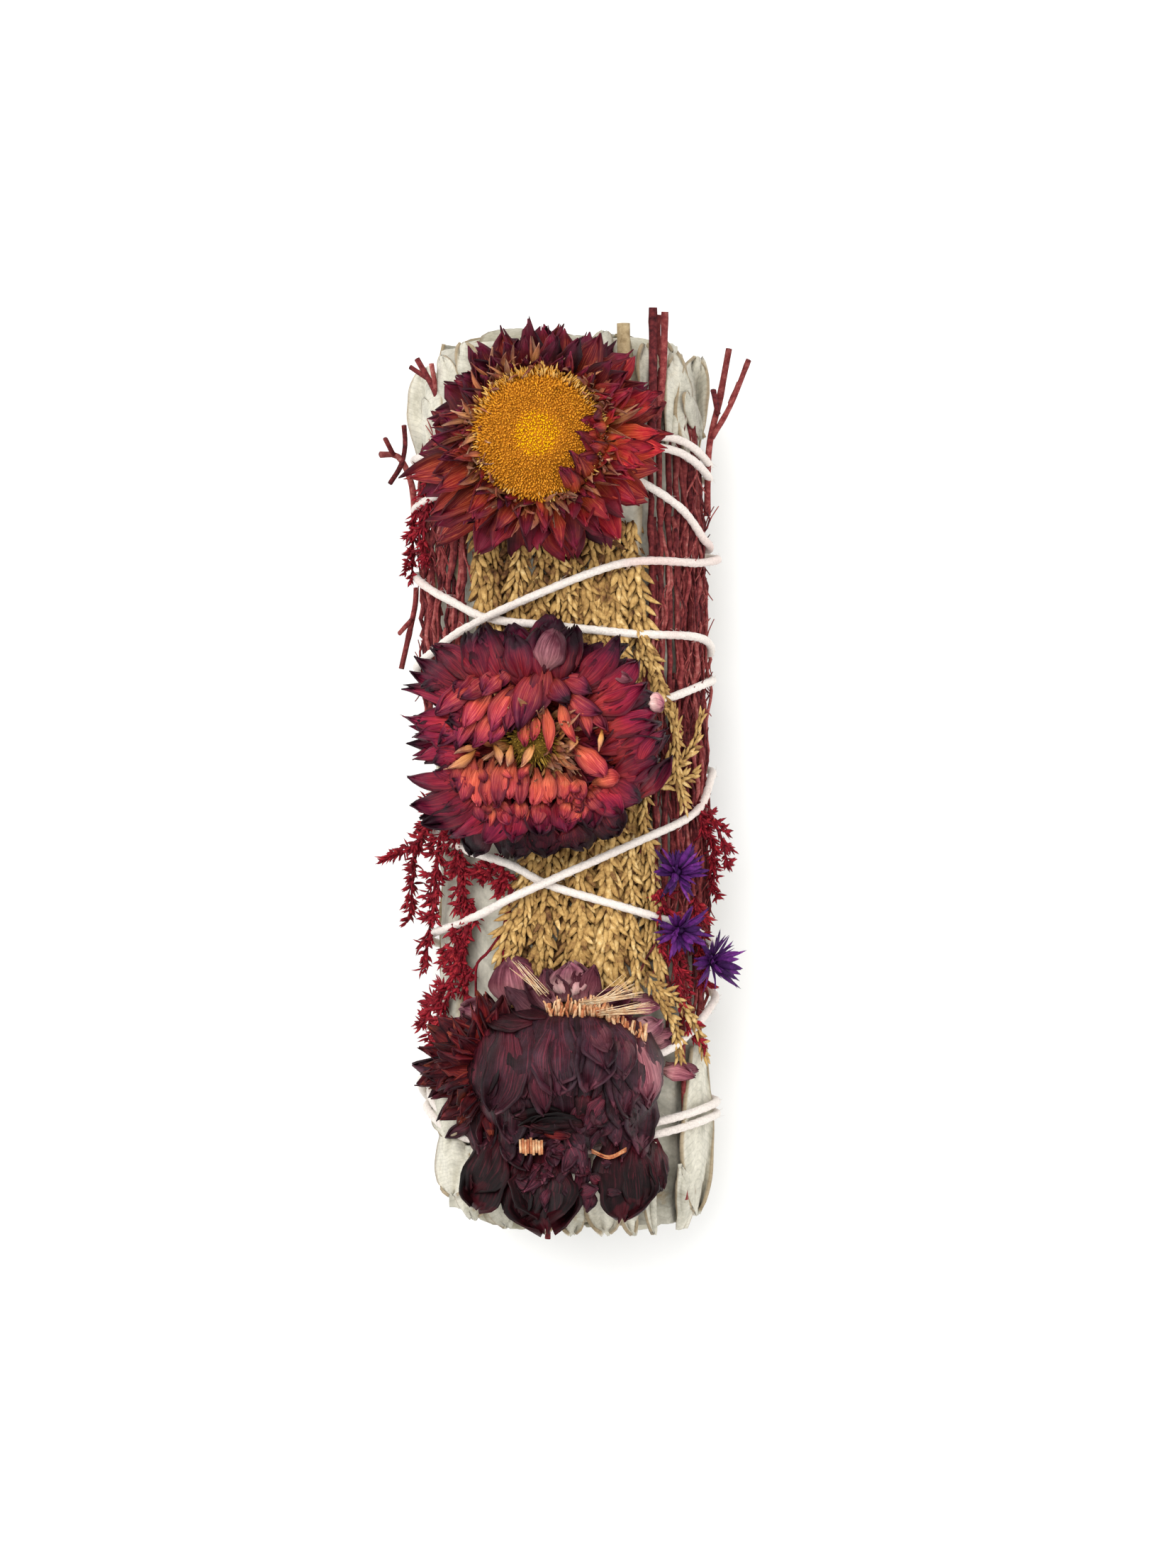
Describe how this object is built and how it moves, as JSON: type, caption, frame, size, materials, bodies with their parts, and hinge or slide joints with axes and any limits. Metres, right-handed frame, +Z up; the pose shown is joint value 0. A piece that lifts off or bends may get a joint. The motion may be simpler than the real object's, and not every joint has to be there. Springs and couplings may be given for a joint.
{
  "type": "dried sage bundle",
  "caption": "Bundle of dried sage leaves tied with white cotton cord, with dried cedar, red dyed stems, purple blossoms and everlasting flowers on its front.",
  "frame": {"origin": "middle of the bounding box, on the surface the bundle lies on", "axes": "+Y along the bundle from its base to its tips, +X to its right seen from the front, +Z up out of its flowered front"},
  "size_m": [0.0438, 0.1086, 0.0402],
  "materials": {
    "cotton_cord": "twisted cotton, matt",
    "inner_sage_leaf": "dried leaf, felted and matt",
    "dried_sage_leaf": "dried leaf, felted and matt",
    "sage_stalk": "dry woody stalk, matt",
    "dried_cedar": "dried scale leaves, satin",
    "red_dyed_stem": "dyed dry stem, matt",
    "red_floret": "dried florets, satin",
    "purple_petal": "dried petals, satin",
    "golden_disc": "felted florets, matt",
    "olive_disc": "felted florets, matt",
    "maroon_bract": "papery bracts, glossy",
    "coral_bract": "papery bracts, glossy",
    "dark_bract": "papery bracts, glossy with a grey bloom",
    "orange_red_bract": "papery bracts, glossy",
    "tan_receptacle": "torn dry flesh, matt",
    "mauve_bract": "papery bracts, glossy"
  },
  "bodies": {
    "root": {"cotton_cord": "cotton_cord", "sage_inner_leaves": "inner_sage_leaf", "sage_stalk_front": "sage_stalk", "sage_stalk_1": "sage_stalk", "sage_stalk_2": "sage_stalk", "sage_stalk_3": "sage_stalk", "sage_stalk_4": "sage_stalk", "sage_leaf_base_1": "dried_sage_leaf", "sage_leaf_base_2": "dried_sage_leaf", "sage_leaf_base_3": "dried_sage_leaf", "sage_leaf_base_4": "dried_sage_leaf", "sage_leaf_base_5": "dried_sage_leaf", "sage_leaf_base_6": "dried_sage_leaf", "sage_leaf_base_7": "dried_sage_leaf", "sage_leaf_base_8": "dried_sage_leaf", "sage_leaf_tip_1": "dried_sage_leaf", "sage_leaf_tip_2": "dried_sage_leaf", "sage_leaf_tip_3": "dried_sage_leaf", "sage_leaf_tip_4": "dried_sage_leaf", "sage_leaf_tip_5": "dried_sage_leaf", "sage_leaf_tip_6": "dried_sage_leaf", "sage_leaf_tip_7": "dried_sage_leaf", "sage_leaf_tip_8": "dried_sage_leaf", "cedar_spray_upper_left": "dried_cedar", "cedar_spray_upper_right": "dried_cedar", "cedar_spray_lower_left": "dried_cedar", "cedar_spray_lower_right": "dried_cedar", "cedar_sprig_side": "dried_cedar", "cedar_sprig_low": "dried_cedar", "red_stems_right": "red_dyed_stem", "red_stems_left": "red_dyed_stem", "red_twigs_tip": "red_dyed_stem", "red_twigs_right": "red_dyed_stem", "red_twigs_left": "red_dyed_stem", "red_twigs_tip_left": "red_dyed_stem", "red_twigs_left_low": "red_dyed_stem", "red_tips_base": "red_dyed_stem", "red_florets_left_upper": "red_floret", "red_florets_left_middle": "red_floret", "red_florets_left_lower": "red_floret", "red_florets_right_middle": "red_floret", "red_florets_right_lower": "red_floret", "purple_blossom_upper": "purple_petal", "purple_blossom_middle": "purple_petal", "purple_blossom_lower": "purple_petal", "flower_tip_disc": "golden_disc", "flower_tip_bracts": "maroon_bract", "flower_middle_disc": "olive_disc", "flower_middle_inner_bracts": "coral_bract", "flower_middle_outer_bracts": "maroon_bract", "flower_base_dark_bracts": "dark_bract", "flower_base_red_bracts": "orange_red_bract", "flower_base_receptacle": "tan_receptacle", "flower_base_mauve_bracts": "mauve_bract"}
  },
  "joints": []
}
